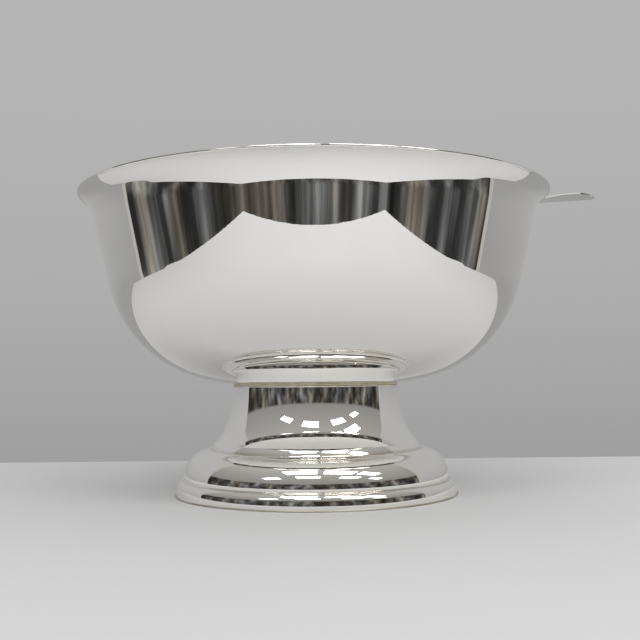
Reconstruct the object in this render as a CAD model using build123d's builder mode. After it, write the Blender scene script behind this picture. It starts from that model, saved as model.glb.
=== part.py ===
"""A silver-plated pedestal punch bowl with a ladle lying in it.

Frame: origin on the bowl's axis at the level of the table, +Z up.  The ladle's
handle crosses the rim towards +X, turned a little towards +Y.  Millimetres and degrees.
"""
from build123d import *
from math import acos, asin, atan2, cos, degrees, hypot, radians, sin, sqrt, tan
import os

# ---- driving dimensions: the bowl ----
rim_radius = 190.5
rim_top = 241.0
rim_wire_radius = 1.2
bowl_wall = 1.6
lip_cove_radius = 19.0
lip_flare = 62.0            # lean from the vertical where the lip meets the wire
lip_sweep_radius = 90.0     # the slower arc that eases the wall into the cove
lip_sweep_lean = 21.0       # lean where the two arcs meet
belly_centre_radius = 67.8  # the belly is one arc, seen in section
belly_centre_height = 191.5
belly_radius = 101.0
belly_end = 73.0            # lean from the vertical where the belly meets the underside
seat_radius = 67.0
seat_height = 88.8

# ---- driving dimensions: the foot ----
sheet = 1.2
gasket_thickness = 1.3
gasket_inner_radius = 58.5
neck_radius = 67.2
neck_shoulder_fold = 1.5    # rounding where the neck turns in under the gasket
neck_flare_end = 52.7       # height where the long flare tightens into a cove
neck_flare_lean = 25.3      # leans from the vertical, down the neck
neck_cove_radius = 40.0
neck_cove_lean = 45.0
neck_arris_radius = 0.8
neck_collar_lean = 33.0
neck_collar_end_lean = 22.0
dome_top = 36.4
dome_hole_radius = 80.0
ledge_radius = 86.6
ovolo_radius = 19.2         # the ovolo's upper and lower arcs
ovolo_side_radius = 25.4
ovolo_joint_lean = 35.0
apron_end = 12.9
quirk_radius = 0.8
torus_start = 109.3
torus_corner_radius = 1.5
torus_radius = 8.0
torus_corner_lean = 45.0
skirt_lean = 8.0
ring_height = 1.2
ring_radius = 114.0
ring_width = 5.5

# ---- driving dimensions: the fastening inside the neck ----
stud_plate_radius = 18.0
stud_plate_thickness = 2.5
stud_radius = 4.0
stud_end_height = 59.5
thread_pitch = 1.25
thread_depth = 0.6
bridge_top = 77.5
bridge_thickness = 2.0
bridge_skirt = 10.0
bridge_hole_radius = 4.6
bridge_window_radius = 15.0
bridge_window_pitch_radius = 36.0
bridge_window_count = 4
washer_radius = 12.0
washer_hole_radius = 4.3
washer_thickness = 1.6
nut_bore_radius = 4.05
nut_top_radius = 8.0
nut_bottom_radius = 6.2
nut_height = 9.0
nut_wing_thickness = 2.4
nut_wing_round = 4.6
nut_wing_reach = 14.0

# ---- driving dimensions: the ladle ----
ladle_bearing = 15.0        # the handle's direction, turned from +X towards +Y
ladle_roll = -3.5           # turn about the line from the cup's rest to the rim
ladle_gap = 0.25
handle_rest_gap = 0.9
cup_radius = 48.8
cup_depth = 30.0
cup_wall = 1.5
cup_bead_radius = 1.2
cup_tilt = 12.0
handle_thickness = 2.4
handle_solder = 0.4         # how far the handle's root sinks into the cup's wall
root_start = 26.0           # angle up the cup's side where the root begins
bend_radius = 60.0
arch_start = 48.0           # slopes of the handle above the horizontal
arch_end = 18.5
tip_slope = -4.0
tip_curve = 185.0
root_half_width = 9.0
stem_half_width = 4.6
spatula_half_width = 15.5
spatula_length = 31.0       # from the widest point to the tip
spatula_flare = 10.4
spatula_turn = 40.0         # where the ovate end changes from its side arc to its tip arc
outline_blend = 120.0

os.makedirs("parts", exist_ok=True)


def finish(builder, name):
    """Label the finished piece and write it under its own name."""
    builder.part.label = name
    export_step(builder.part, f"parts/{name}.step")


def polar(centre, radius, angle):
    """The point at an angle, anticlockwise from the first axis, on a circle."""
    return (centre[0] + radius * cos(radians(angle)), centre[1] + radius * sin(radians(angle)))


# ---- the bowl's section: cove, sweep, straight wall, belly, underside ----
wire_centre = (rim_radius - rim_wire_radius, rim_top - rim_wire_radius)
cove_centre = polar(wire_centre, lip_cove_radius + bowl_wall / 2, -lip_flare)
sweep_centre = polar(cove_centre, lip_sweep_radius - lip_cove_radius, -lip_sweep_lean)
belly_centre = (belly_centre_radius, belly_centre_height)
centre_line = (sweep_centre[0] - belly_centre[0], sweep_centre[1] - belly_centre[1])
wall_lean = degrees(
    acos((belly_radius + lip_sweep_radius) / hypot(*centre_line))
    - atan2(centre_line[1], centre_line[0])
)
belly_low = polar(belly_centre, belly_radius, -belly_end)
underside_rise = (belly_low[0] - seat_radius, belly_low[1] - seat_height)
underside_bend = 90 - belly_end - degrees(atan2(underside_rise[1], underside_rise[0]))
underside_radius = hypot(*underside_rise) / (2 * sin(radians(underside_bend)))
underside_centre = polar(belly_low, underside_radius, 180 - belly_end)


def bowl_curve(depth):
    """The line a given depth inside the bowl's outer face, from the axis out to the lip."""
    floor = seat_height + depth
    curve = underside_radius - depth
    drop = underside_centre[1] - floor
    floor_edge = (underside_centre[0] + sqrt(curve**2 - drop**2), floor)
    Line((0, floor), floor_edge)
    floor_angle = -degrees(acos((floor_edge[0] - underside_centre[0]) / curve))
    CenterArc(underside_centre, curve, floor_angle, -belly_end - floor_angle)
    belly = CenterArc(belly_centre, belly_radius - depth, -belly_end, belly_end - wall_lean)
    sweep = CenterArc(
        sweep_centre, lip_sweep_radius + depth, 180 - wall_lean, wall_lean - lip_sweep_lean
    )
    cove = CenterArc(
        cove_centre, lip_cove_radius + depth, 180 - lip_sweep_lean, lip_sweep_lean - lip_flare
    )
    Line(belly @ 1, sweep @ 0)
    return floor_edge, cove @ 1


with BuildPart() as bowl_shell:
    with BuildSketch(Plane.XZ):
        with BuildLine():
            _, outer_lip = bowl_curve(0)
            _, inner_lip = bowl_curve(bowl_wall)
            Line(outer_lip, inner_lip)
            Line((0, seat_height), (0, seat_height + bowl_wall))
        make_face()
        with Locations(wire_centre):
            Circle(rim_wire_radius, mode=Mode.SUBTRACT)
    revolve(axis=Axis.Z)
finish(bowl_shell, "bowl_shell")

# The lip's edge is rolled over a round wire.
with BuildPart() as rim_wire:
    with BuildSketch(Plane.XZ):
        with Locations(wire_centre):
            Circle(rim_wire_radius)
    revolve(axis=Axis.Z)
finish(rim_wire, "rim_wire")

# ---- the foot ----
neck_top = seat_height - gasket_thickness
neck_arc_top = neck_top - neck_shoulder_fold
neck_curve = (neck_arc_top - neck_flare_end) / sin(radians(neck_flare_lean))
neck_centre = (neck_radius + neck_curve, neck_arc_top)

with BuildPart() as seat_gasket:
    with BuildSketch(Plane.XY.offset(neck_top)):
        Circle(seat_radius)
        Circle(gasket_inner_radius, mode=Mode.SUBTRACT)
    extrude(amount=gasket_thickness)
finish(seat_gasket, "seat_gasket")

# A spun neck: turned in under the gasket, a long flare, a cove, and a collar that stands
# on the dome.
with BuildPart() as pedestal_neck:
    with BuildSketch(Plane.XZ):
        with BuildLine():
            top_ring = Line(
                (gasket_inner_radius, neck_top), (neck_radius - neck_shoulder_fold, neck_top)
            )
            shoulder = JernArc(top_ring @ 1, (1, 0), neck_shoulder_fold, -90)
            flare = JernArc(shoulder @ 1, (0, -1), neck_curve, neck_flare_lean)
            cove = JernArc(
                flare @ 1, flare % 1, neck_cove_radius, neck_cove_lean - neck_flare_lean
            )
            arris = JernArc(
                cove @ 1, cove % 1, neck_arris_radius, neck_collar_lean - neck_cove_lean
            )
            collar_turn = sin(radians(neck_collar_lean)) - sin(radians(neck_collar_end_lean))
            collar_radius = ((arris @ 1).Y - dome_top) / collar_turn
            JernArc(
                arris @ 1, arris % 1, collar_radius, neck_collar_end_lean - neck_collar_lean
            )
            offset(amount=sheet, side=Side.RIGHT)
        make_face()
        with Locations((0, dome_top)):
            Rectangle(
                2 * ring_radius, seat_height - dome_top, align=(Align.CENTER, Align.MIN),
                mode=Mode.INTERSECT,
            )
    revolve(axis=Axis.Z)
finish(pedestal_neck, "pedestal_neck")

# The foot's dome: an ovolo of two arcs, a quirk and a torus, pressed from one sheet.
with BuildPart() as foot_dome:
    with BuildSketch(Plane.XZ):
        with BuildLine():
            ledge = Line((dome_hole_radius, dome_top), (ledge_radius, dome_top))
            ovolo = JernArc(ledge @ 1, (1, 0), ovolo_radius, ovolo_joint_lean - 90)
            side = JernArc(ovolo @ 1, ovolo % 1, ovolo_side_radius, -ovolo_joint_lean)
            apron = Line(side @ 1, ((side @ 1).X, apron_end))
            quirk = JernArc(apron @ 1, (0, -1), quirk_radius, 90)
            shelf = Line(quirk @ 1, (torus_start, (quirk @ 1).Y))
            corner = JernArc(shelf @ 1, (1, 0), torus_corner_radius, torus_corner_lean - 90)
            torus = JernArc(
                corner @ 1, corner % 1, torus_radius, skirt_lean - torus_corner_lean
            )
            skirt_radius = ((torus @ 1).Y - ring_height) / sin(radians(skirt_lean))
            JernArc(torus @ 1, torus % 1, skirt_radius, -skirt_lean)
            offset(amount=sheet, side=Side.RIGHT)
        make_face()
    revolve(axis=Axis.Z)
finish(foot_dome, "foot_dome")

# A flat ring with a round edge stiffens the foot and stands on the table.
with BuildPart() as base_ring:
    with BuildSketch():
        Circle(ring_radius)
        Circle(ring_radius - ring_width, mode=Mode.SUBTRACT)
    extrude(amount=ring_height)
    outer_edges = base_ring.edges().filter_by(GeomType.CIRCLE).group_by(SortBy.RADIUS)[-1]
    fillet(outer_edges, radius=ring_height * 0.45)
finish(base_ring, "base_ring")

# ---- the fastening: a stud under the bowl, a bridge in the neck, a washer and a wing nut ----
stud_top = seat_height - stud_plate_thickness
with BuildPart() as stud_plate:
    with BuildSketch(Plane.XY.offset(stud_top)):
        Circle(stud_plate_radius)
    extrude(amount=stud_plate_thickness)
    chamfer(stud_plate.edges().group_by(Axis.Z)[0], length=stud_plate_thickness / 3)
finish(stud_plate, "stud_plate")

with BuildPart() as threaded_stud:
    thread_turns = int((bridge_top - stud_end_height) / thread_pitch)
    with BuildSketch(Plane.XZ):
        with BuildLine():
            crest = stud_radius
            points = [(0, stud_top), (crest, stud_top), (crest, bridge_top)]
            for turn in range(thread_turns):
                crest_height = bridge_top - turn * thread_pitch
                points.append((crest - thread_depth, crest_height - thread_pitch / 2))
                points.append((crest, crest_height - thread_pitch))
            points.append((crest - thread_depth, stud_end_height))
            points.append((0, stud_end_height))
            Polyline(points, close=True)
        make_face()
    revolve(axis=Axis.Z)
finish(threaded_stud, "threaded_stud")


def neck_bore_angle(height, depth):
    """The angle on the neck's curve at a height, a given depth inside the neck's sheet."""
    return 180 + degrees(asin((neck_arc_top - height) / (neck_curve + sheet + depth)))


# The bridge is a pierced plate whose skirt lies against the neck's inside.
bridge_bottom = bridge_top - bridge_thickness
with BuildPart() as bridge_plate:
    with BuildSketch(Plane.XZ):
        with BuildLine():
            skirt_low = bridge_top - bridge_skirt
            outer_start = neck_bore_angle(bridge_top, 0)
            outer_end = neck_bore_angle(skirt_low, 0)
            inner_start = neck_bore_angle(bridge_bottom, bridge_thickness)
            inner_end = neck_bore_angle(skirt_low, bridge_thickness)
            outside = CenterArc(
                neck_centre, neck_curve + sheet, outer_start, outer_end - outer_start
            )
            inside = CenterArc(
                neck_centre,
                neck_curve + sheet + bridge_thickness,
                inner_start,
                inner_end - inner_start,
            )
            Line(outside @ 1, inside @ 1)
            Polyline(
                outside @ 0,
                (bridge_hole_radius, bridge_top),
                (bridge_hole_radius, bridge_bottom),
                inside @ 0,
            )
        make_face()
    revolve(axis=Axis.Z)
    with BuildSketch(Plane.XY.offset(bridge_bottom)):
        with PolarLocations(bridge_window_pitch_radius, bridge_window_count):
            Circle(bridge_window_radius)
    extrude(amount=bridge_thickness, mode=Mode.SUBTRACT)
finish(bridge_plate, "bridge_plate")

nut_top = bridge_bottom - washer_thickness
with BuildPart() as flat_washer:
    with BuildSketch(Plane.XY.offset(nut_top)):
        Circle(washer_radius)
        Circle(washer_hole_radius, mode=Mode.SUBTRACT)
    extrude(amount=washer_thickness)
finish(flat_washer, "flat_washer")

nut_bottom = nut_top - nut_height
with BuildPart() as wing_nut:
    with BuildSketch(Plane.XZ):
        with BuildLine():
            Polyline(
                (0, nut_top),
                (nut_top_radius, nut_top),
                (nut_bottom_radius, nut_bottom),
                (0, nut_bottom),
                close=True,
            )
        make_face()
    revolve(axis=Axis.Z)
    with BuildSketch(Plane.XZ):
        for side in (-1, 1):
            with BuildLine():
                lobe = (side * nut_wing_reach, nut_bottom)
                Polyline(
                    (0, nut_top - nut_height / 3),
                    (side * (nut_wing_reach + nut_wing_round), nut_bottom),
                    lobe,
                    (0, nut_bottom),
                    close=True,
                )
            make_face()
        with Locations((-nut_wing_reach, nut_bottom), (nut_wing_reach, nut_bottom)):
            Circle(nut_wing_round)
    extrude(amount=nut_wing_thickness / 2, both=True)
    with Locations(Plane.XY.offset(nut_top)):
        Hole(nut_bore_radius)
finish(wing_nut, "wing_nut")

# ---- the ladle, drawn in an upright plane through its handle ----
# Distances in that plane are counted from the point where the cup rests on the bowl's floor.
mouth_angle = degrees(acos((cup_radius - cup_depth) / cup_radius))
root_end = mouth_angle - cup_tilt
root_radius = cup_radius + handle_thickness - handle_solder
root_point = polar((0, cup_radius), root_radius, root_end - 90)
bend_run = bend_radius * (sin(radians(root_end)) - sin(radians(arch_start)))
bend_rise = bend_radius * (cos(radians(arch_start)) - cos(radians(root_end)))
cup_rest_height = seat_height + bowl_wall + ladle_gap
rest_reach = rim_wire_radius + handle_rest_gap
rim_point = polar(wire_centre, rest_reach, arch_end + 90)
arch_rise = rim_point[1] - cup_rest_height - root_point[1] - bend_rise
arch_radius = arch_rise / (cos(radians(arch_end)) - cos(radians(arch_start)))
arch_run = arch_radius * (sin(radians(arch_start)) - sin(radians(arch_end)))
rim_run = root_point[0] + bend_run + arch_run
cup_rest_reach = rim_point[0] - rim_run
tip_run = rim_run + tip_curve * (sin(radians(arch_end)) - sin(radians(tip_slope)))

outward = Vector(1, 0, 0).rotate(Axis.Z, ladle_bearing)
sideways = outward.cross(Vector(0, 0, 1))
cup_rest = outward * cup_rest_reach + Vector(0, 0, cup_rest_height)
rest_line = outward * rim_run + Vector(0, 0, rim_point[1] - cup_rest_height)
roll_axis = Axis(cup_rest, rest_line)
rolled_outward = outward.rotate(roll_axis, ladle_roll)
rolled_sideways = sideways.rotate(roll_axis, ladle_roll)
ladle_plane = Plane(origin=cup_rest, x_dir=rolled_outward, z_dir=rolled_sideways)
plan_plane = Plane(origin=cup_rest, x_dir=rolled_outward, z_dir=ladle_plane.y_dir)
cup_centre = ladle_plane.from_local_coords(Vector(0, cup_radius, 0))
cup_axis_direction = ladle_plane.y_dir.rotate(Axis(cup_centre, rolled_sideways), -cup_tilt)
cup_plane = Plane(
    origin=cup_centre, x_dir=cup_axis_direction.cross(rolled_sideways), z_dir=rolled_sideways
)

with BuildPart() as ladle_bowl:
    with BuildSketch(cup_plane):
        with BuildLine():
            cup_outside = CenterArc((0, 0), cup_radius, -90, mouth_angle)
            cup_inside = CenterArc((0, 0), cup_radius - cup_wall, -90, mouth_angle)
            Line(cup_outside @ 0, cup_inside @ 0)
            Line(cup_outside @ 1, cup_inside @ 1)
        make_face()
        with Locations(polar((0, 0), cup_radius - cup_wall / 2, mouth_angle - 90)):
            Circle(cup_bead_radius)
    revolve(axis=Axis(cup_centre, cup_axis_direction))
finish(ladle_bowl, "ladle_bowl")

# The handle's end is ovate: a long arc up each side and a short one round the tip.
turn_sin, turn_cos = sin(radians(spatula_turn)), cos(radians(spatula_turn))
turn_share = turn_sin * turn_cos - (1 - turn_sin) * (1 - turn_cos)
side_arc = (
    spatula_length * turn_cos - spatula_half_width * (1 - turn_sin)
) / turn_share
tip_arc = (spatula_half_width * turn_sin - spatula_length * (1 - turn_cos)) / turn_share
flare_end = (
    tip_run - spatula_length - side_arc * sin(radians(spatula_flare)),
    spatula_half_width - side_arc * (1 - cos(radians(spatula_flare))),
)
flare_run = (flare_end[1] - stem_half_width) / tan(radians(spatula_flare))
with BuildPart() as ladle_handle:
    with BuildSketch(ladle_plane):
        with BuildLine():
            root_line = JernArc(
                polar((0, cup_radius), root_radius, root_start - 90),
                (cos(radians(root_start)), sin(radians(root_start))),
                root_radius,
                root_end - root_start,
            )
            bend = JernArc(root_line @ 1, root_line % 1, bend_radius, arch_start - root_end)
            arch = JernArc(bend @ 1, bend % 1, arch_radius, arch_end - arch_start)
            JernArc(arch @ 1, arch % 1, tip_curve, tip_slope - arch_end)
            offset(amount=handle_thickness, side=Side.LEFT)
        make_face()
    extrude(amount=2 * spatula_half_width, both=True)
    with BuildSketch(plan_plane):
        with BuildLine():
            edge = FilletPolyline(
                (0, root_half_width),
                (rim_run / 3, stem_half_width),
                (flare_end[0] - flare_run, stem_half_width),
                flare_end,
                radius=outline_blend,
            )
            ovate_side = JernArc(edge @ 1, edge % 1, side_arc, -spatula_flare - spatula_turn)
            tip = JernArc(ovate_side @ 1, ovate_side % 1, tip_arc, spatula_turn - 90)
            Polyline(tip @ 1, (0, 0), edge @ 0)
        make_face()
        mirror(about=Plane.XZ)
    extrude(amount=tip_run, both=True, mode=Mode.INTERSECT)
finish(ladle_handle, "ladle_handle")
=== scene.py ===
"""The looks of the pedestal punch bowl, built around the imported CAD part.

Outlines are in millimetres, as (distance from the axis, height above the table), and become
metres when a mesh is made.  Their sizes are the CAD part's own.
"""
import math

import bmesh
import bpy
from mathutils import Matrix, Vector


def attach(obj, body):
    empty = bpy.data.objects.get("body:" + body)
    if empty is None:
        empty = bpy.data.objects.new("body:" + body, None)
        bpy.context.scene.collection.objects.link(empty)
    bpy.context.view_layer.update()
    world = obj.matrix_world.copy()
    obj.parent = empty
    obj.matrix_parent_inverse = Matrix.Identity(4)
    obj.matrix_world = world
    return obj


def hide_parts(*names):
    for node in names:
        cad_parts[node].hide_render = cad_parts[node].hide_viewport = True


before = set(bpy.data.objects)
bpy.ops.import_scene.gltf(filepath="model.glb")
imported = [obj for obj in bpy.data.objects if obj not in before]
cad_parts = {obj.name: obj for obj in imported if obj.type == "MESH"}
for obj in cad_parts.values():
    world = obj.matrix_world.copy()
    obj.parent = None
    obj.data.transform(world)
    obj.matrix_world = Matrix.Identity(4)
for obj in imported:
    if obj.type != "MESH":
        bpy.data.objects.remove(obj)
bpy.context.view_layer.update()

MM = 0.001
TURN_STEPS = 288
SHARP_ANGLE = math.radians(30)


# ---------------------------------------------------------------- outlines


def polar(centre, radius, degrees):
    """The point at an angle on a circle, in an outline's plane."""
    angle = math.radians(degrees)
    return (centre[0] + radius * math.cos(angle), centre[1] + radius * math.sin(angle))


def arc(centre, radius, start, end, step=2.0):
    """Points along an arc from one angle to another."""
    count = max(2, int(abs(end - start) / step) + 1)
    return [polar(centre, radius, start + (end - start) * i / count) for i in range(count + 1)]


def line(start, end, count):
    """Points along a straight stretch, without its ends."""
    return [
        (
            start[0] + (end[0] - start[0]) * i / count,
            start[1] + (end[1] - start[1]) * i / count,
        )
        for i in range(1, count)
    ]


def sin_deg(angle):
    return math.sin(math.radians(angle))


def cos_deg(angle):
    return math.cos(math.radians(angle))


class Pen:
    """Draws a chain of tangent lines and arcs, and a copy set in by a sheet's thickness.

    The heading is the angle that the pen moves in.  Material lies to its right.
    """

    def __init__(self, start, heading, depth=0.0):
        self.depth = depth
        self.place = start
        self.heading = heading
        self.points = [self.inset()]

    def inset(self):
        return polar(self.place, self.depth, self.heading - 90)

    def go(self, length, count=1):
        start = self.place
        for i in range(1, count + 1):
            self.place = polar(start, length * i / count, self.heading)
            self.points.append(self.inset())

    def bend(self, radius, turn, step=2.0):
        """Turns left for a positive angle and right for a negative one."""
        side = 1 if turn > 0 else -1
        centre = polar(self.place, radius, self.heading + 90 * side)
        first = self.heading
        count = max(2, int(abs(turn) / step) + 1)
        for i in range(1, count + 1):
            self.heading = first + turn * i / count
            self.place = polar(centre, radius, self.heading - 90 * side)
            self.points.append(self.inset())


def rounded(corner_points, radius):
    """A closed outline whose corners are all rounded to one radius."""
    points = []
    count = len(corner_points)
    for i, corner in enumerate(corner_points):
        here = Vector(corner)
        before = (Vector(corner_points[i - 1]) - here).normalized()
        after = (Vector(corner_points[(i + 1) % count]) - here).normalized()
        half = before.angle(after) / 2
        centre = here + (before + after).normalized() * radius / math.sin(half)
        first = here + before * radius / math.tan(half) - centre
        turn = math.pi - 2 * half
        way = 1 if before.x * after.y - before.y * after.x < 0 else -1
        steps = max(2, int(math.degrees(turn) / 12))
        for k in range(steps + 1):
            spin = Matrix.Rotation(way * turn * k / steps, 2)
            points.append(tuple(centre + spin @ first))
    return points


# ---------------------------------------------------------------- meshes


def into_scene(name, data):
    """Puts a mesh, lamp or camera into the scene as a new object."""
    made = bpy.data.objects.new(name, data)
    bpy.context.scene.collection.objects.link(made)
    return made


def mesh_of(shape, name, stand=Matrix()):
    """Turns a finished bmesh into a mesh, stood in its place, and frees it."""
    bmesh.ops.recalc_face_normals(shape, faces=shape.faces)
    bmesh.ops.transform(shape, matrix=stand, verts=shape.verts)
    mesh = bpy.data.meshes.new(name)
    shape.to_mesh(mesh)
    shape.free()
    return mesh


def new_object(name, mesh):
    """Puts a mesh into the scene, smooth but for its real edges."""
    mesh.validate()
    mesh.shade_smooth()
    mesh.set_sharp_from_angle(angle=SHARP_ANGLE)
    return into_scene(name, mesh)


def close_points(first, second):
    return math.dist(first, second) < 1e-4


def turned(name, outline, inner=(), steps=TURN_STEPS, stand=Matrix()):
    """Turns an outline about the axis.  The faces of its inner line get the second material."""
    marked = [(point, 0) for point in outline] + [(point, 1) for point in inner]
    marked = [m for i, m in enumerate(marked) if not close_points(m[0], marked[i - 1][0])]
    shape = bmesh.new()
    rings = []
    for (radius, height), _ in marked:
        if radius < 1e-6:
            rings.append([shape.verts.new((0, 0, height * MM))])
            continue
        ring = []
        for k in range(steps):
            angle = 2 * math.pi * k / steps
            place = (radius * math.cos(angle) * MM, radius * math.sin(angle) * MM, height * MM)
            ring.append(shape.verts.new(place))
        rings.append(ring)
    for i, low in enumerate(rings):
        high = rings[(i + 1) % len(rings)]
        if len(low) == 1 and len(high) == 1:
            continue
        inside = marked[i][1] and marked[(i + 1) % len(rings)][1]
        for k in range(steps):
            corners = [low[k % len(low)], low[(k + 1) % len(low)]]
            corners += [high[(k + 1) % len(high)], high[k % len(high)]]
            face = shape.faces.new(list(dict.fromkeys(corners)))
            face.material_index = int(inside)
    return new_object(name, mesh_of(shape, name, stand))


def settle(piece, node, body, slot, *materials):
    """Hides the node a piece stands in for, hangs the piece on what it rides on and gives it its
    materials.
    """
    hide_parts(node)
    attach(piece, body)
    for made in materials:
        piece.data.materials.append(made)


# ---------------------------------------------------------------- the bowl

RIM_RADIUS = 190.5
RIM_TOP = 241.0
WIRE_RADIUS = 1.2
BOWL_WALL = 1.6
COVE_RADIUS = 19.0
LIP_FLARE = 62.0
SWEEP_RADIUS = 90.0
SWEEP_LEAN = 21.0
BELLY_CENTRE = (67.8, 191.5)
BELLY_RADIUS = 101.0
BELLY_END = 73.0
SEAT_RADIUS = 67.0
SEAT_HEIGHT = 88.8

WIRE_CENTRE = (RIM_RADIUS - WIRE_RADIUS, RIM_TOP - WIRE_RADIUS)
COVE_CENTRE = polar(WIRE_CENTRE, COVE_RADIUS + BOWL_WALL / 2, -LIP_FLARE)
SWEEP_CENTRE = polar(COVE_CENTRE, SWEEP_RADIUS - COVE_RADIUS, -SWEEP_LEAN)
SWEEP_AWAY = (SWEEP_CENTRE[0] - BELLY_CENTRE[0], SWEEP_CENTRE[1] - BELLY_CENTRE[1])
WALL_LEAN = math.degrees(
    math.acos((BELLY_RADIUS + SWEEP_RADIUS) / math.hypot(*SWEEP_AWAY))
    - math.atan2(SWEEP_AWAY[1], SWEEP_AWAY[0])
)
BELLY_LOW = polar(BELLY_CENTRE, BELLY_RADIUS, -BELLY_END)
UNDER_RISE = (BELLY_LOW[0] - SEAT_RADIUS, BELLY_LOW[1] - SEAT_HEIGHT)
UNDER_BEND = 90 - BELLY_END - math.degrees(math.atan2(UNDER_RISE[1], UNDER_RISE[0]))
UNDER_RADIUS = math.hypot(*UNDER_RISE) / (2 * sin_deg(UNDER_BEND))
UNDER_CENTRE = polar(BELLY_LOW, UNDER_RADIUS, 180 - BELLY_END)


def bowl_line(depth):
    """The bowl's section a given depth inside its outer face, from the axis to the lip."""
    floor = SEAT_HEIGHT + depth
    curve = UNDER_RADIUS - depth
    floor_angle = -math.degrees(math.asin((UNDER_CENTRE[1] - floor) / curve))
    floor_edge = polar(UNDER_CENTRE, curve, floor_angle)
    flat = [(0, floor)] + line((0, floor), floor_edge, 6)
    under = arc(UNDER_CENTRE, curve, floor_angle, -BELLY_END, step=1.0)
    belly = arc(BELLY_CENTRE, BELLY_RADIUS - depth, -BELLY_END, -WALL_LEAN, step=1.2)
    sweep = arc(SWEEP_CENTRE, SWEEP_RADIUS + depth, 180 - WALL_LEAN, 180 - SWEEP_LEAN, step=0.6)
    cove = arc(COVE_CENTRE, COVE_RADIUS + depth, 180 - SWEEP_LEAN, 180 - LIP_FLARE, step=1.5)
    wall = line(belly[-1], sweep[0], 10)
    return flat + under[:-1] + belly + wall + sweep + cove[1:]


def make_bowl(outside, inside):
    bowl = turned("bowl_silver", bowl_line(0), bowl_line(BOWL_WALL)[::-1])
    settle(bowl, "bowl_shell", "bowl", "silver_plate", outside, inside)
    wire = turned("rim_bead", arc(WIRE_CENTRE, WIRE_RADIUS, 0, 345, step=15))
    settle(wire, "rim_wire", "bowl", "silver_plate", outside)


# ---------------------------------------------------------------- the foot

SHEET = 1.2
GASKET = 1.3
GASKET_INNER = 58.5
GASKET_EDGE = 0.35
NECK_RADIUS = 67.2
NECK_FOLD = 1.5
NECK_FLARE_END = 52.7
NECK_FLARE_LEAN = 25.3
NECK_COVE = 40.0
NECK_COVE_LEAN = 45.0
NECK_ARRIS = 0.8
NECK_COLLAR_LEAN = 33.0
NECK_COLLAR_END_LEAN = 22.0
DOME_TOP = 36.4
DOME_HOLE = 80.0
LEDGE_RADIUS = 86.6
OVOLO = 19.2
OVOLO_SIDE = 25.4
OVOLO_JOINT_LEAN = 35.0
APRON_END = 12.9
QUIRK = 0.8
TORUS_START = 109.3
TORUS_CORNER = 1.5
TORUS = 8.0
TORUS_CORNER_LEAN = 45.0
SKIRT_LEAN = 8.0
RING_HEIGHT = 1.2
RING_RADIUS = 114.0
RING_WIDTH = 5.5
RING_EDGE = RING_HEIGHT * 0.45

NECK_TOP = SEAT_HEIGHT - GASKET
NECK_ARC_TOP = NECK_TOP - NECK_FOLD


def neck_line(depth):
    """The neck's section a given depth inside its outer face, from the gasket down."""
    pen = Pen((GASKET_INNER, NECK_TOP), 0, depth)
    pen.go(NECK_RADIUS - NECK_FOLD - GASKET_INNER)
    pen.bend(NECK_FOLD, -90, 9)
    pen.bend((NECK_ARC_TOP - NECK_FLARE_END) / sin_deg(NECK_FLARE_LEAN), NECK_FLARE_LEAN, 0.8)
    pen.bend(NECK_COVE, NECK_COVE_LEAN - NECK_FLARE_LEAN, 1.0)
    pen.bend(NECK_ARRIS, NECK_COLLAR_LEAN - NECK_COVE_LEAN, 3)
    turn = sin_deg(NECK_COLLAR_LEAN) - sin_deg(NECK_COLLAR_END_LEAN)
    collar = (pen.place[1] - DOME_TOP) / turn
    pen.bend(collar, NECK_COLLAR_END_LEAN - NECK_COLLAR_LEAN, 1.5)
    if pen.points[-1][1] < DOME_TOP:
        pen.points[-1] = (pen.points[-1][0], DOME_TOP)
    return pen.points


def make_neck(outside, inside):
    neck = turned("neck_silver", neck_line(0), neck_line(SHEET)[::-1])
    settle(neck, "pedestal_neck", "foot", "silver_plate", outside, inside)


def dome_line(depth):
    """The dome's section a given depth inside its outer face, from the neck out and down."""
    pen = Pen((DOME_HOLE, DOME_TOP), 0, depth)
    pen.go(LEDGE_RADIUS - DOME_HOLE, 2)
    pen.bend(OVOLO, OVOLO_JOINT_LEAN - 90, 1.5)
    pen.bend(OVOLO_SIDE, -OVOLO_JOINT_LEAN, 1.5)
    pen.go(pen.place[1] - APRON_END)
    pen.bend(QUIRK, 90, 10)
    pen.go(TORUS_START - pen.place[0])
    pen.bend(TORUS_CORNER, TORUS_CORNER_LEAN - 90, 6)
    pen.bend(TORUS, SKIRT_LEAN - TORUS_CORNER_LEAN, 2)
    pen.bend((pen.place[1] - RING_HEIGHT) / sin_deg(SKIRT_LEAN), -SKIRT_LEAN, 2)
    return pen.points


def make_foot(outside, inside):
    dome = turned("foot_dome_silver", dome_line(0), dome_line(SHEET)[::-1])
    settle(dome, "foot_dome", "foot", "silver_plate", outside, inside)
    inner = RING_RADIUS - RING_WIDTH
    corners = [(inner, 0), (RING_RADIUS, 0), (RING_RADIUS, RING_HEIGHT), (inner, RING_HEIGHT)]
    ring = turned("base_ring_silver", rounded(corners, RING_EDGE))
    # The base ring wears the dull, darker plate of the foot's inside. This is partly the ring's
    # own unpolished finish and partly painted shade: it darkens the ring into the thin dark
    # contact line along the foot's bottom edge.
    settle(ring, "base_ring", "foot", "silver_plate", inside)


def make_gasket(rubber):
    corners = [
        (GASKET_INNER, NECK_TOP),
        (SEAT_RADIUS, NECK_TOP),
        (SEAT_RADIUS, SEAT_HEIGHT),
        (GASKET_INNER, SEAT_HEIGHT),
    ]
    gasket = turned("cream_gasket", rounded(corners, GASKET_EDGE))
    settle(gasket, "seat_gasket", "foot", "gasket_rubber", rubber)


# ---------------------------------------------------------------- the ladle

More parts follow.
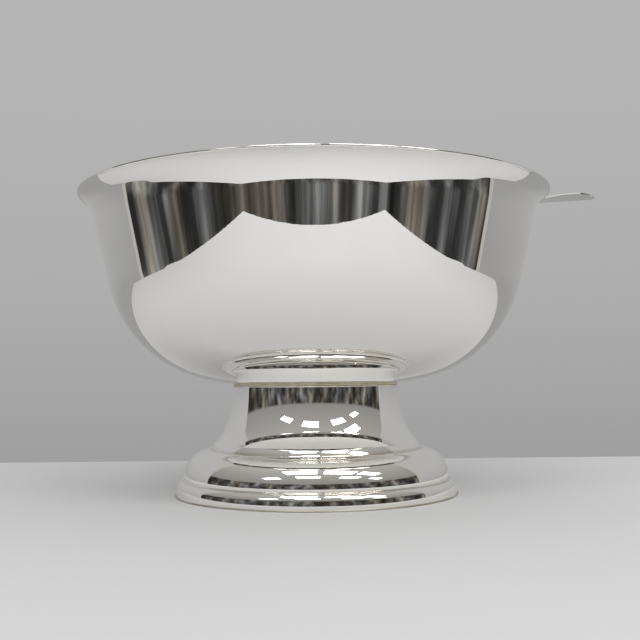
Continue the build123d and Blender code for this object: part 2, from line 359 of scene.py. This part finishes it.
LADLE_BEARING = 15.0
LADLE_ROLL = -3.5
LADLE_GAP = 0.25
REST_GAP = 0.9
CUP_RADIUS = 48.8
CUP_DEPTH = 30.0
CUP_WALL = 1.5
CUP_BEAD = 1.2
CUP_BEAD_BACK = 50.0      # how far back of the lip the bead starts, in degrees
CUP_BEAD_TURN = 280.0     # how far round the bead goes
CUP_LIP_DROP = 1.2        # how far below the lip the cup meets the bead, in degrees
CUP_TILT = 12.0
HANDLE_THICK = 2.4
HANDLE_SOLDER = 0.4
ROOT_START = 26.0
BEND_RADIUS = 60.0
ARCH_START = 48.0
ARCH_END = 18.5
TIP_SLOPE = -4.0
TIP_CURVE = 185.0
ROOT_HALF = 9.0
STEM_HALF = 4.6
SPATULA_HALF = 15.5
SPATULA_LENGTH = 31.0
SPATULA_FLARE = 10.4
SPATULA_TURN = 40.0
OUTLINE_BLEND = 120.0

MOUTH_ANGLE = math.degrees(math.acos((CUP_RADIUS - CUP_DEPTH) / CUP_RADIUS))
ROOT_END = MOUTH_ANGLE - CUP_TILT
ROOT_RADIUS = CUP_RADIUS + HANDLE_THICK - HANDLE_SOLDER
ROOT_POINT = polar((0, CUP_RADIUS), ROOT_RADIUS, ROOT_END - 90)
BEND_RUN = BEND_RADIUS * (sin_deg(ROOT_END) - sin_deg(ARCH_START))
BEND_RISE = BEND_RADIUS * (cos_deg(ARCH_START) - cos_deg(ROOT_END))
CUP_REST_HEIGHT = SEAT_HEIGHT + BOWL_WALL + LADLE_GAP
RIM_POINT = polar(WIRE_CENTRE, WIRE_RADIUS + REST_GAP, ARCH_END + 90)
ARCH_RISE = RIM_POINT[1] - CUP_REST_HEIGHT - ROOT_POINT[1] - BEND_RISE
ARCH_RADIUS = ARCH_RISE / (cos_deg(ARCH_END) - cos_deg(ARCH_START))
ARCH_RUN = ARCH_RADIUS * (sin_deg(ARCH_START) - sin_deg(ARCH_END))
RIM_RUN = ROOT_POINT[0] + BEND_RUN + ARCH_RUN
TIP_RUN = RIM_RUN + TIP_CURVE * (sin_deg(ARCH_END) - sin_deg(TIP_SLOPE))

CUP_STEPS = 192
HANDLE_STATIONS = 240
HANDLE_CROWDING = 0.08   # how far stations move towards the handle's ends
HANDLE_LEAST_HALF = 0.12
ROOT_THIN = 0.35         # the top's share of its height where the root starts
SECTION_STEPS = 14
EDGE_ROUND = 0.95   # how far in from the handle's side its edge is rounded
CROWN = 0.55        # how much the handle's top is domed
HOLLOW = 0.15       # how much its underside is


def ladle_frame():
    """The upright frame of the ladle at the cup's resting point: along, up and across."""
    along = Vector((cos_deg(LADLE_BEARING), sin_deg(LADLE_BEARING), 0))
    across = along.cross(Vector((0, 0, 1)))
    rest = along * (RIM_POINT[0] - RIM_RUN) + Vector((0, 0, CUP_REST_HEIGHT))
    rest_line = along * RIM_RUN + Vector((0, 0, RIM_POINT[1] - CUP_REST_HEIGHT))
    roll = Matrix.Rotation(math.radians(LADLE_ROLL), 3, rest_line.normalized())
    along, across = roll @ along, roll @ across
    return rest, along, across.cross(along), across


def make_cup(outside, inside):
    rest, _, up, across = ladle_frame()
    tilt = Matrix.Rotation(math.radians(-CUP_TILT), 3, across)
    axis = tilt @ up
    side = axis.cross(across)
    turn = Matrix((side, axis.cross(side), axis)).transposed().to_4x4()
    stand = Matrix.Translation((rest + up * CUP_RADIUS) * MM) @ turn
    lip_angle = MOUTH_ANGLE - 90
    lip = polar((0, 0), CUP_RADIUS - CUP_WALL / 2, lip_angle)
    bead_start = lip_angle - CUP_BEAD_BACK
    outer = arc((0, 0), CUP_RADIUS, -90, lip_angle - CUP_LIP_DROP, step=1.5)
    bead = arc(lip, CUP_BEAD, bead_start, bead_start + CUP_BEAD_TURN, step=14)
    inner = arc((0, 0), CUP_RADIUS - CUP_WALL, lip_angle - CUP_LIP_DROP, -90, step=1.5)
    cup = turned("ladle_cup_silver", outer + bead, inner, CUP_STEPS, stand)
    settle(cup, "ladle_bowl", "ladle", "silver_plate", outside, inside)


def handle_profile():
    """The handle's underside, as points (run, rise) with the heading at each."""
    pen = Pen(polar((0, CUP_RADIUS), ROOT_RADIUS, ROOT_START - 90), ROOT_START)
    stops = []

    def follow(radius, end):
        first = pen.heading
        count = 60
        for i in range(1, count + 1):
            pen.bend(radius, first + (end - first) * i / count - pen.heading, 90)
            stops.append((pen.place, pen.heading))

    stops.append((pen.place, pen.heading))
    follow(ROOT_RADIUS, ROOT_END)
    follow(BEND_RADIUS, ARCH_START)
    follow(ARCH_RADIUS, ARCH_END)
    follow(TIP_CURVE, TIP_SLOPE)
    return stops


def blend(points, radius):
    """A chain of straight lines whose inner corners are rounded."""
    chain = [points[0]]
    for before, corner, after in zip(points, points[1:], points[2:]):
        start, here, end = Vector(before), Vector(corner), Vector(after)
        first, second = (here - start).normalized(), (end - here).normalized()
        turn = first.angle_signed(second)
        reach = radius * math.tan(abs(turn) / 2)
        side = -1 if turn > 0 else 1
        entry = here - first * reach
        centre = entry + Vector((-first.y, first.x)) * radius * side
        for i in range(9):
            spin = Matrix.Rotation(-turn * i / 8, 2)
            chain.append(tuple(centre + spin @ (entry - centre)))
    return chain + [points[-1]]


def handle_plan():
    """The handle's half outline seen from above, as points (run, half width)."""
    share_sin, share_cos = sin_deg(SPATULA_TURN), cos_deg(SPATULA_TURN)
    share = share_sin * share_cos - (1 - share_sin) * (1 - share_cos)
    side = (SPATULA_LENGTH * share_cos - SPATULA_HALF * (1 - share_sin)) / share
    tip = (SPATULA_HALF * share_sin - SPATULA_LENGTH * (1 - share_cos)) / share
    flare_end = (
        TIP_RUN - SPATULA_LENGTH - side * sin_deg(SPATULA_FLARE),
        SPATULA_HALF - side * (1 - cos_deg(SPATULA_FLARE)),
    )
    flare_run = (flare_end[1] - STEM_HALF) / math.tan(math.radians(SPATULA_FLARE))
    corners = [
        (0, ROOT_HALF),
        (RIM_RUN / 3, STEM_HALF),
        (flare_end[0] - flare_run, STEM_HALF),
        flare_end,
    ]
    pen = Pen(flare_end, SPATULA_FLARE)
    pen.bend(side, -SPATULA_FLARE - SPATULA_TURN, 1.5)
    pen.bend(tip, SPATULA_TURN - 90, 3)
    return blend(corners, OUTLINE_BLEND) + pen.points[1:]


def between(points, run):
    """The value at a run, read off a chain of (run, value, ...) points."""
    for low, high in zip(points, points[1:]):
        if low[0] <= run <= high[0] and high[0] > low[0]:
            share = (run - low[0]) / (high[0] - low[0])
            return [a + (b - a) * share for a, b in zip(low[1:], high[1:])]
    return list(points[-1][1:])


def handle_section(half, root):
    """The handle's section: domed above, nearly flat below, with rounded sides."""
    edge = min(EDGE_ROUND, half)
    middle = HANDLE_THICK / 2
    above, below = [], []
    for i in range(SECTION_STEPS + 1):
        across = -half * math.cos(math.pi * i / SECTION_STEPS)
        over = max(0.0, abs(across) - (half - edge)) / edge
        thin = math.sqrt(max(0.0, 1 - over * over))
        dome = 1 - (across / half) ** 2
        above.append((across, middle + (middle - CROWN + CROWN * dome) * thin * root))
        below.append((across, middle - (middle - HOLLOW + HOLLOW * dome) * thin))
    return below + above[::-1][1:-1]


def make_handle(outside):
    rest, along, up, across = ladle_frame()
    profile = [(p[0], p[1], heading) for p, heading in handle_profile()]
    plan = handle_plan()
    start = profile[0][0]
    shape = bmesh.new()
    rings = []
    for i in range(HANDLE_STATIONS + 1):
        share = i / HANDLE_STATIONS
        # Stations crowd together at the root's rounded end and at the tip.
        share = share - HANDLE_CROWDING * math.sin(2 * math.pi * share)
        run = start + (TIP_RUN - start) * share
        rise, heading = between(profile, run)
        half = between(plan, run)[0]
        root_share = min(1.0, (run - start) / ROOT_HALF)
        half *= math.sqrt(max(0.0, 1 - (1 - root_share) ** 2))
        half = max(half, HANDLE_LEAST_HALF)
        ring = []
        for off, height in handle_section(half, ROOT_THIN + (1 - ROOT_THIN) * root_share):
            flat = polar((run, rise), height, heading + 90)
            place = rest + along * flat[0] + up * flat[1] + across * off
            ring.append(shape.verts.new(place * MM))
        rings.append(ring)
    for low, high in zip(rings, rings[1:]):
        for k in range(len(low)):
            turn = (k + 1) % len(low)
            shape.faces.new((low[k], low[turn], high[turn], high[k]))
    shape.faces.new(rings[0])
    shape.faces.new(rings[-1][::-1])
    name = "ladle_handle_silver"
    handle = new_object(name, mesh_of(shape, name))
    settle(handle, "ladle_handle", "ladle", "silver_plate", outside)


# ---------------------------------------------------------------- materials

COLLAR_FOOT = 85.2     # radius where the neck's collar meets the dome
QUIRK_FOOT = 107.3     # radius at the bottom of the quirk
CREVICES = (
    (SEAT_RADIUS, SEAT_HEIGHT),
    (NECK_RADIUS, NECK_TOP),
    (COLLAR_FOOT, DOME_TOP),
    (QUIRK_FOOT, APRON_END - QUIRK),
)
CREVICE_REACH = 0.003
SPIN_LINES = 900.0     # spinning lines to the metre
SPIN_WANDER = 1.2      # how much they change round the piece


class Nodes:
    """A node tree under construction, with short ways to add and join its nodes."""

    def __init__(self, tree):
        self.nodes = tree.nodes
        self.links = tree.links

    def feed(self, socket, value):
        """Gives a socket a number or a colour, or joins it to another node's output."""
        if isinstance(value, tuple):
            socket.default_value = (*value, 1)
        elif isinstance(value, (int, float)):
            socket.default_value = value
        else:
            self.links.new(value, socket)

    def place(self, kind="Object"):
        return self.nodes.new("ShaderNodeTexCoord").outputs[kind]

    def split(self, vector):
        node = self.nodes.new("ShaderNodeSeparateXYZ")
        self.links.new(vector, node.inputs["Vector"])
        return [node.outputs[letter] for letter in "XYZ"]

    def combine(self, x, y, z=0.0):
        node = self.nodes.new("ShaderNodeCombineXYZ")
        for socket, value in zip(node.inputs, (x, y, z)):
            self.feed(socket, value)
        return node.outputs["Vector"]

    def maths(self, operation, first, second=0.0):
        node = self.nodes.new("ShaderNodeMath")
        node.operation = operation
        for socket, value in zip(node.inputs, (first, second)):
            self.feed(socket, value)
        return node.outputs["Value"]

    def hypot(self, first, second):
        squares = (self.maths("MULTIPLY", value, value) for value in (first, second))
        return self.maths("SQRT", self.maths("ADD", *squares))

    def noise(self, vector, scale, detail=4.0, roughness=0.5):
        node = self.nodes.new("ShaderNodeTexNoise")
        node.inputs["Scale"].default_value = scale
        node.inputs["Detail"].default_value = detail
        node.inputs["Roughness"].default_value = roughness
        self.links.new(vector, node.inputs["Vector"])
        return node.outputs["Fac"]

    def remap(self, value, low, high, to_low=0.0, to_high=1.0):
        node = self.nodes.new("ShaderNodeMapRange")
        node.interpolation_type = "SMOOTHSTEP"
        self.links.new(value, node.inputs["Value"])
        for socket, number in zip(
            ("From Min", "From Max", "To Min", "To Max"), (low, high, to_low, to_high)
        ):
            node.inputs[socket].default_value = number
        return node.outputs["Result"]

    def blend(self, factor, first, second, way="MIX"):
        node = self.nodes.new("ShaderNodeMix")
        node.data_type = "RGBA"
        node.blend_type = way
        for socket, value in (("Factor", factor), ("A", first), ("B", second)):
            self.feed(node.inputs[socket], value)
        return node.outputs["Result"]

    def tones(self, value, marks, warmth=1.0):
        """A grey for each value, given as pairs of (value from -1 to 1, tone)."""
        ramp = self.nodes.new("ShaderNodeValToRGB")
        elements = ramp.color_ramp.elements
        for i, (mark_value, tone) in enumerate(marks):
            position = (mark_value + 1) / 2
            mark = elements[i] if i < 2 else elements.new(position)
            mark.position = position
            mark.color = (tone * warmth, tone, tone / warmth, 1)
        upward = self.nodes.new("ShaderNodeMapRange")
        upward.inputs["From Min"].default_value = -1.0
        self.links.new(value, upward.inputs["Value"])
        self.links.new(upward.outputs["Result"], ramp.inputs["Fac"])
        return ramp.outputs["Color"]


class Shader(Nodes):
    """A material under construction."""

    def __init__(self, name):
        self.material = bpy.data.materials.new(name)
        self.material.use_nodes = True
        super().__init__(self.material.node_tree)
        self.surface = self.nodes["Principled BSDF"]

    def set(self, socket, value):
        self.surface.inputs[socket].default_value = value

    def join(self, output, socket):
        self.links.new(output, self.surface.inputs[socket])

    def bump(self, height, strength, distance, below=None):
        node = self.nodes.new("ShaderNodeBump")
        node.inputs["Strength"].default_value = strength
        node.inputs["Distance"].default_value = distance
        self.links.new(height, node.inputs["Height"])
        if below is not None:
            self.links.new(below, node.inputs["Normal"])
        return node.outputs["Normal"]


def turned_place(shader):
    """Coordinates along a turned piece's circles: (distance from the axis, turn, height)."""
    x, y, z = shader.split(shader.place())
    return shader.hypot(x, y), shader.maths("ARCTAN2", y, x), z


def crevice_mask(shader, radius, height, reach):
    """1 at the nearest of the crevice circles, falling to 0 at the reach from all of them."""
    nearest = None
    for ring_radius, ring_height in CREVICES:
        out = shader.maths("SUBTRACT", radius, ring_radius * MM)
        rise = shader.maths("SUBTRACT", height, ring_height * MM)
        away = shader.hypot(out, rise)
        nearest = away if nearest is None else shader.maths("MINIMUM", nearest, away)
    return shader.remap(nearest, 0.0, reach, 1.0, 0.0)


def polished_silver(name, roughness, haze, tint=(0.955, 0.945, 0.925), spun=True):
    """Silver plate polished to a mirror, with spinning lines, smudges and tarnish in corners."""
    shader = Shader(name)
    shader.set("Metallic", 1.0)
    place = shader.place()
    smudge = shader.noise(place, 13.0, 6.0, 0.6)
    patches = shader.noise(place, 5.0, 3.0)
    gloss = shader.remap(smudge, 0.45, 0.75, roughness, roughness + haze)
    aged = tuple(value * shade for value, shade in zip(tint, (0.975, 0.955, 0.905)))
    colour = shader.blend(shader.remap(patches, 0.45, 0.8), tint, aged)
    wave = shader.noise(place, 9.0, 2.0)
    normal = shader.bump(wave, 0.05, 0.0003)
    if spun:
        radius, turn, height = turned_place(shader)
        mask = crevice_mask(shader, radius, height, CREVICE_REACH)
        dirt = shader.maths("MULTIPLY", mask, shader.remap(smudge, 0.25, 0.7, 0.1, 0.5))
        colour = shader.blend(dirt, colour, (0.50, 0.42, 0.28))
        gloss = shader.maths("ADD", gloss, shader.maths("MULTIPLY", dirt, 0.2))
        lines = shader.combine(
            shader.maths("MULTIPLY", radius, SPIN_LINES),
            shader.maths("MULTIPLY", shader.maths("SINE", turn), SPIN_WANDER),
            shader.maths("MULTIPLY", height, SPIN_LINES),
        )
        fine = shader.noise(lines, 1.0, 3.0)
        normal = shader.bump(fine, 0.02, 0.00003, normal)
        gloss = shader.maths("ADD", gloss, shader.remap(fine, 0.55, 0.8, 0.0, 0.012))
    shader.join(gloss, "Roughness")
    shader.join(colour, "Base Color")
    shader.join(normal, "Normal")
    return shader.material


def unpolished_plate():
    """The foot's inside: thin plating over brushed metal, dull and blotchy."""
    shader = Shader("unpolished_plate")
    shader.set("Metallic", 1.0)
    blotch = shader.noise(shader.place(), 30.0, 6.0, 0.65)
    fine = shader.noise(shader.place(), 400.0, 2.0)
    colour = shader.blend(
        shader.remap(blotch, 0.35, 0.7), (0.62, 0.60, 0.55), (0.46, 0.41, 0.32)
    )
    shader.join(colour, "Base Color")
    shader.join(shader.remap(blotch, 0.3, 0.75, 0.34, 0.55), "Roughness")
    shader.join(shader.bump(fine, 0.12, 0.0002), "Normal")
    return shader.material


def yellow_brass():
    """Bare brass, darker where hands haven't rubbed it."""
    shader = Shader("yellow_brass")
    shader.set("Metallic", 1.0)
    patina = shader.noise(shader.place(), 90.0, 6.0, 0.6)
    fine = shader.noise(shader.place(), 900.0, 2.0)
    colour = shader.blend(
        shader.remap(patina, 0.38, 0.7), (0.74, 0.57, 0.29), (0.42, 0.29, 0.13)
    )
    shader.join(colour, "Base Color")
    shader.join(shader.remap(patina, 0.3, 0.75, 0.2, 0.48), "Roughness")
    shader.join(shader.bump(fine, 0.1, 0.0001), "Normal")
    return shader.material


def cream_rubber():
    """The old gasket: cream rubber, a little mottled and grubby."""
    shader = Shader("cream_rubber")
    mottle = shader.noise(shader.place(), 120.0, 5.0, 0.6)
    fine = shader.noise(shader.place(), 1500.0, 2.0)
    colour = shader.blend(
        shader.remap(mottle, 0.35, 0.7), (0.86, 0.83, 0.66), (0.72, 0.66, 0.46)
    )
    shader.join(colour, "Base Color")
    shader.join(shader.remap(mottle, 0.3, 0.7, 0.5, 0.7), "Roughness")
    shader.join(shader.bump(fine, 0.25, 0.0001), "Normal")
    return shader.material


def table_paper():
    """Matt pale-grey paper with a faint fibre."""
    shader = Shader("table_paper")
    cloud = shader.noise(shader.place(), 3.0, 3.0)
    fibre = shader.noise(shader.place(), 500.0, 4.0)
    colour = shader.blend(cloud, (0.616, 0.619, 0.624), (0.653, 0.656, 0.662))
    shader.join(colour, "Base Color")
    shader.set("Roughness", 0.75)
    shader.set("Specular IOR Level", 0.25)
    shader.join(shader.bump(fibre, 0.15, 0.0002), "Normal")
    return shader.material


# ---------------------------------------------------------------- the stage

TABLE_THICKNESS = 0.03
TABLE_HALF = 0.95         # half the width behind
TABLE_BACK = 0.30
TABLE_FRONT = -0.82
TABLE_FRONT_HALF = 0.51   # half the width of the front edge
TABLE_CUT = -0.22         # where the cut corners meet the sides


def make_table(paper):
    """A pale table top with its two front corners cut off."""
    right = (
        (TABLE_FRONT_HALF, TABLE_FRONT),
        (TABLE_HALF, TABLE_CUT),
        (TABLE_HALF, TABLE_BACK),
    )
    corners = [(-x, y) for x, y in right[::-1]] + list(right)
    shape = bmesh.new()
    low = [shape.verts.new((x, y, -TABLE_THICKNESS)) for x, y in corners]
    high = [shape.verts.new((x, y, 0)) for x, y in corners]
    shape.faces.new(low[::-1])
    shape.faces.new(high)
    for i in range(len(corners)):
        turn = (i + 1) % len(corners)
        shape.faces.new((low[i], low[turn], high[turn], high[i]))
    table = into_scene("table", mesh_of(shape, "table"))
    table.data.materials.append(paper)


BACKDROP_TURN = 4.4      # degrees that the backdrop is turned about the upright
BACKDROP_START = 0.1745  # how far back a direction points where the backdrop starts
BACKDROP_BLUR = 0.006
BACKDROP_HEM = 0.045     # the paler edge of the backdrop
HEM_TONE = (0.46, 0.44, 0.42)
HEM_BLUR = 0.005
BACKDROP_TONES = ((-1.0, 0.30), (-0.12, 0.33), (0.0, 0.385), (0.1, 0.425), (0.3, 0.46))
ROOM_TONES = ((-1.0, 0.03), (0.0, 0.06), (0.2, 0.20), (0.3, 0.27), (0.55, 0.33), (0.9, 0.44))
# The dim lower part of the studio: soft upright strips, dark to light by a noise from 0 to 1.
STRIP_TONES = ((0.30, 0.010), (0.44, 0.035), (0.52, 0.085), (0.60, 0.17), (0.72, 0.36))
STRIP_SCALE = 7.0
STRIP_SLANT = 0.35        # how far the strips change with height
STRIP_TOP = (0.24, 0.29)  # heights between which the strips fade out
STRIP_TINTS = ((1.12, 1.0, 0.86), (0.99, 1.0, 1.01))
TINT_SCALE = 2.6
ROOM_WARMTH = 1.03


def make_world():
    """A grey paper backdrop behind, and a dim, plain studio all round."""
    world = bpy.data.worlds.new("studio")
    bpy.context.scene.world = world
    world.use_nodes = True
    sky = Nodes(world.node_tree)
    sky.nodes.clear()
    x, y, z = sky.split(sky.place("Generated"))
    backdrop = sky.tones(z, BACKDROP_TONES)

    turn = sky.maths("ARCTAN2", x, sky.maths("MULTIPLY", y, -1.0))
    where = sky.combine(turn, sky.maths("MULTIPLY", z, STRIP_SLANT))
    strips = sky.tones(sky.noise(where, STRIP_SCALE), STRIP_TONES)
    tint = sky.blend(sky.remap(sky.noise(where, TINT_SCALE, 0.0), 0.40, 0.60), *STRIP_TINTS)
    strips = sky.blend(1.0, strips, tint, "MULTIPLY")
    low_wall = sky.maths("SUBTRACT", 1.0, sky.remap(z, *STRIP_TOP))
    room = sky.blend(low_wall, sky.tones(z, ROOM_TONES, ROOM_WARMTH), strips)

    across = sky.maths("MULTIPLY", x, sin_deg(BACKDROP_TURN))
    depth = sky.maths("ADD", sky.maths("MULTIPLY", y, cos_deg(BACKDROP_TURN)), across)
    behind = sky.remap(depth, BACKDROP_START - BACKDROP_BLUR, BACKDROP_START + BACKDROP_BLUR)
    hem_end = BACKDROP_START + BACKDROP_HEM
    hem = sky.remap(depth, hem_end - HEM_BLUR, hem_end)
    around = sky.blend(behind, room, sky.blend(hem, HEM_TONE, backdrop))

    seen = sky.nodes.new("ShaderNodeLightPath").outputs["Is Camera Ray"]
    shader = sky.nodes.new("ShaderNodeBackground")
    sky.links.new(sky.blend(seen, around, backdrop), shader.inputs["Color"])
    output = sky.nodes.new("ShaderNodeOutputWorld")
    sky.links.new(shader.outputs["Background"], output.inputs["Surface"])


LAMP_HEIGHT = 1.9
LAMP_LENGTH = 0.95
LAMP_WIDTH = 0.5
LAMP_POWER = 10.5
# Each row's place in y, its first lamp's in x, the gap between lamps, and their number.
LAMP_ROWS = ((-1.4, -0.46, 1.15, 3), (-2.45, -2.13, 1.80, 4))
FILL_PLACE = (0, 0.4, 1.6)
FILL_SIZE = 2.4
FILL_POWER = 9.0


def make_lights():
    """Two even rows of ceiling panels in front of the table, and a soft fill overhead."""
    for y, first, gap, count in LAMP_ROWS:
        for i in range(count):
            lamp = bpy.data.lights.new("ceiling_panel", "AREA")
            lamp.shape = "RECTANGLE"
            lamp.size, lamp.size_y = LAMP_LENGTH, LAMP_WIDTH
            lamp.energy = LAMP_POWER
            into_scene(lamp.name, lamp).location = (first + gap * i, y, LAMP_HEIGHT)
    lamp = bpy.data.lights.new("overhead_fill", "AREA")
    lamp.shape = "DISK"
    lamp.size = FILL_SIZE
    lamp.energy = FILL_POWER
    fill = into_scene(lamp.name, lamp)
    fill.location = FILL_PLACE
    fill.visible_glossy = False


CAMERA_DISTANCE = 0.776
CAMERA_HEIGHT = 0.0951
CAMERA_LENS = 53.15
CAMERA_YAW = 0.30
CAMERA_PITCH = 3.35
CAMERA_ROLL = 0.55


def make_camera():
    lens = bpy.data.cameras.new("camera")
    lens.sensor_width = 36.0
    lens.lens = CAMERA_LENS
    camera = into_scene("camera", lens)
    camera.location = (0, -CAMERA_DISTANCE, CAMERA_HEIGHT)
    level = cos_deg(CAMERA_PITCH)
    forward = Vector(
        (sin_deg(CAMERA_YAW) * level, cos_deg(CAMERA_YAW) * level, sin_deg(CAMERA_PITCH))
    )
    roll = Matrix.Rotation(math.radians(-CAMERA_ROLL), 3, "Z").to_quaternion()
    camera.rotation_mode = "QUATERNION"
    camera.rotation_quaternion = forward.to_track_quat("-Z", "Y") @ roll
    bpy.context.scene.camera = camera


# ---------------------------------------------------------------- the whole scene

make_camera()
make_world()
make_lights()
make_table(table_paper())
bpy.context.scene.view_settings.view_transform = "Standard"

silver = polished_silver("polished_silver", 0.008, 0.03)
bowl_inside = polished_silver("bowl_inside_silver", 0.04, 0.08)
ladle_silver = polished_silver("ladle_silver", 0.03, 0.06, spun=False)
plate = unpolished_plate()
brass = yellow_brass()

make_bowl(silver, bowl_inside)
make_neck(silver, plate)
make_foot(silver, plate)
make_gasket(cream_rubber())
make_cup(ladle_silver, ladle_silver)
make_handle(ladle_silver)
for node in ("stud_plate", "threaded_stud", "bridge_plate", "flat_washer", "wing_nut"):
    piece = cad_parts[node]
    piece.data.materials.clear()
    piece.data.materials.append(brass)
